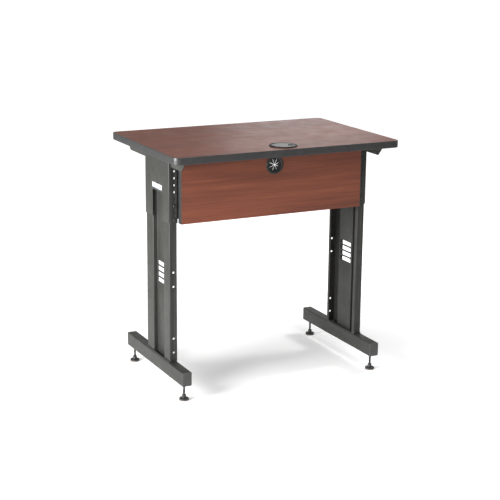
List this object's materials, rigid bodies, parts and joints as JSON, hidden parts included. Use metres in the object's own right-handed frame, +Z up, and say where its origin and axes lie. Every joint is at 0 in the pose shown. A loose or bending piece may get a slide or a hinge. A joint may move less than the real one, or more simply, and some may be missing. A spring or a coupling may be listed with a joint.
{
  "type": "height-adjustable training table",
  "caption": "Free-standing laminate table on two telescoping steel legs with foot beams, with a front modesty panel and cable grommets.",
  "frame": {"origin": "on the floor, under the middle of the worktop", "axes": "+X along the width, +Z up, +Y towards the user, so the modesty panel is on the -Y side"},
  "size_m": [0.9144, 0.6096, 0.9134],
  "materials": {
    "laminate_board": "satin laminate",
    "charcoal_powder_coat": "satin powder coat",
    "black_plastic": "satin",
    "edge_moulding": "satin",
    "rubber": "matte",
    "zinc_steel": "dark zinc plated",
    "paper_label": "blank sticker"
  },
  "bodies": {
    "left_leg": {"foot_beam_left": "charcoal_powder_coat", "beam_cap_front_left": "black_plastic", "beam_cap_rear_left": "black_plastic", "lower_column_left": "charcoal_powder_coat", "column_base_plate_left": "charcoal_powder_coat", "base_bolt_front_left": "zinc_steel", "base_bolt_rear_left": "zinc_steel", "leveller_nut_front_left": "zinc_steel", "leveller_nut_rear_left": "zinc_steel"},
    "table": {"worktop": "laminate_board", "worktop_edge_band": "edge_moulding", "desk_grommet_liner": "black_plastic", "modesty_panel": "laminate_board", "panel_end_band_left": "edge_moulding", "panel_end_band_right": "edge_moulding", "panel_grommet_ring": "black_plastic", "panel_grommet_diaphragm": "rubber", "height_label": "paper_label", "upper_column_left": "charcoal_powder_coat", "support_arm_left": "charcoal_powder_coat", "panel_bracket_left": "charcoal_powder_coat", "height_bolt_front_upper_left": "zinc_steel", "height_bolt_front_lower_left": "zinc_steel", "height_bolt_rear_upper_left": "zinc_steel", "height_bolt_rear_lower_left": "zinc_steel", "arm_screw_front_left": "zinc_steel", "arm_screw_rear_left": "zinc_steel", "panel_screw_lower_left": "zinc_steel", "panel_screw_upper_left": "zinc_steel", "upper_column_right": "charcoal_powder_coat", "support_arm_right": "charcoal_powder_coat", "panel_bracket_right": "charcoal_powder_coat", "height_bolt_front_upper_right": "zinc_steel", "height_bolt_front_lower_right": "zinc_steel", "height_bolt_rear_upper_right": "zinc_steel", "height_bolt_rear_lower_right": "zinc_steel", "arm_screw_front_right": "zinc_steel", "arm_screw_rear_right": "zinc_steel", "panel_screw_lower_right": "zinc_steel", "panel_screw_upper_right": "zinc_steel"},
    "right_leg": {"foot_beam_right": "charcoal_powder_coat", "beam_cap_front_right": "black_plastic", "beam_cap_rear_right": "black_plastic", "lower_column_right": "charcoal_powder_coat", "column_base_plate_right": "charcoal_powder_coat", "base_bolt_front_right": "zinc_steel", "base_bolt_rear_right": "zinc_steel", "leveller_nut_front_right": "zinc_steel", "leveller_nut_rear_right": "zinc_steel"},
    "desk_grommet_cap": {"desk_grommet_cap": "black_plastic"},
    "leveller_pad_front_left": {"leveller_pad_front_left": "black_plastic"},
    "leveller_stud_front_left": {"leveller_stud_front_left": "zinc_steel"},
    "leveller_pad_rear_left": {"leveller_pad_rear_left": "black_plastic"},
    "leveller_stud_rear_left": {"leveller_stud_rear_left": "zinc_steel"},
    "leveller_pad_front_right": {"leveller_pad_front_right": "black_plastic"},
    "leveller_stud_front_right": {"leveller_stud_front_right": "zinc_steel"},
    "leveller_pad_rear_right": {"leveller_pad_rear_right": "black_plastic"},
    "leveller_stud_rear_right": {"leveller_stud_rear_right": "zinc_steel"}
  },
  "joints": [
    {"name": "table_height", "type": "slide", "parent": "left_leg", "child": "table", "axis": [0, 0, 1], "range_m": [-0.1016, 0]},
    {"name": "right_leg_height", "type": "slide", "parent": "table", "child": "right_leg", "axis": [0, 0, 1], "range_m": [0, 0.1016]},
    {"name": "desk_grommet_cap_turn", "type": "hinge", "parent": "table", "child": "desk_grommet_cap", "pos_m": [0.0026, -0.23, 0.912], "axis": [0, 0, 1], "continuous": true},
    {"name": "leveller_front_left_height", "type": "slide", "parent": "left_leg", "child": "leveller_pad_front_left", "axis": [0, 0, 1], "range_m": [0, 0.034]},
    {"name": "leveller_front_left_turn", "type": "hinge", "parent": "leveller_pad_front_left", "child": "leveller_stud_front_left", "pos_m": [-0.3969, -0.239, 0.04], "axis": [0, 0, 1], "range_deg": [-1, 9793]},
    {"name": "leveller_rear_left_height", "type": "slide", "parent": "left_leg", "child": "leveller_pad_rear_left", "axis": [0, 0, 1], "range_m": [0, 0.034]},
    {"name": "leveller_rear_left_turn", "type": "hinge", "parent": "leveller_pad_rear_left", "child": "leveller_stud_rear_left", "pos_m": [-0.3969, 0.239, 0.04], "axis": [0, 0, 1], "range_deg": [-1, 9793]},
    {"name": "leveller_front_right_height", "type": "slide", "parent": "right_leg", "child": "leveller_pad_front_right", "axis": [0, 0, 1], "range_m": [0, 0.034]},
    {"name": "leveller_front_right_turn", "type": "hinge", "parent": "leveller_pad_front_right", "child": "leveller_stud_front_right", "pos_m": [0.3969, -0.239, 0.04], "axis": [0, 0, 1], "range_deg": [-1, 9793]},
    {"name": "leveller_rear_right_height", "type": "slide", "parent": "right_leg", "child": "leveller_pad_rear_right", "axis": [0, 0, 1], "range_m": [0, 0.034]},
    {"name": "leveller_rear_right_turn", "type": "hinge", "parent": "leveller_pad_rear_right", "child": "leveller_stud_rear_right", "pos_m": [0.3969, 0.239, 0.04], "axis": [0, 0, 1], "range_deg": [-1, 9793]}
  ],
  "couplings": [
    {"joint": "right_leg_height", "follows": "table_height", "ratio": -1},
    {"joint": "leveller_front_left_turn", "follows": "leveller_front_left_height", "rad_per_m": 5026.5},
    {"joint": "leveller_rear_left_turn", "follows": "leveller_rear_left_height", "rad_per_m": 5026.5},
    {"joint": "leveller_front_right_turn", "follows": "leveller_front_right_height", "rad_per_m": 5026.5},
    {"joint": "leveller_rear_right_turn", "follows": "leveller_rear_right_height", "rad_per_m": 5026.5}
  ]
}
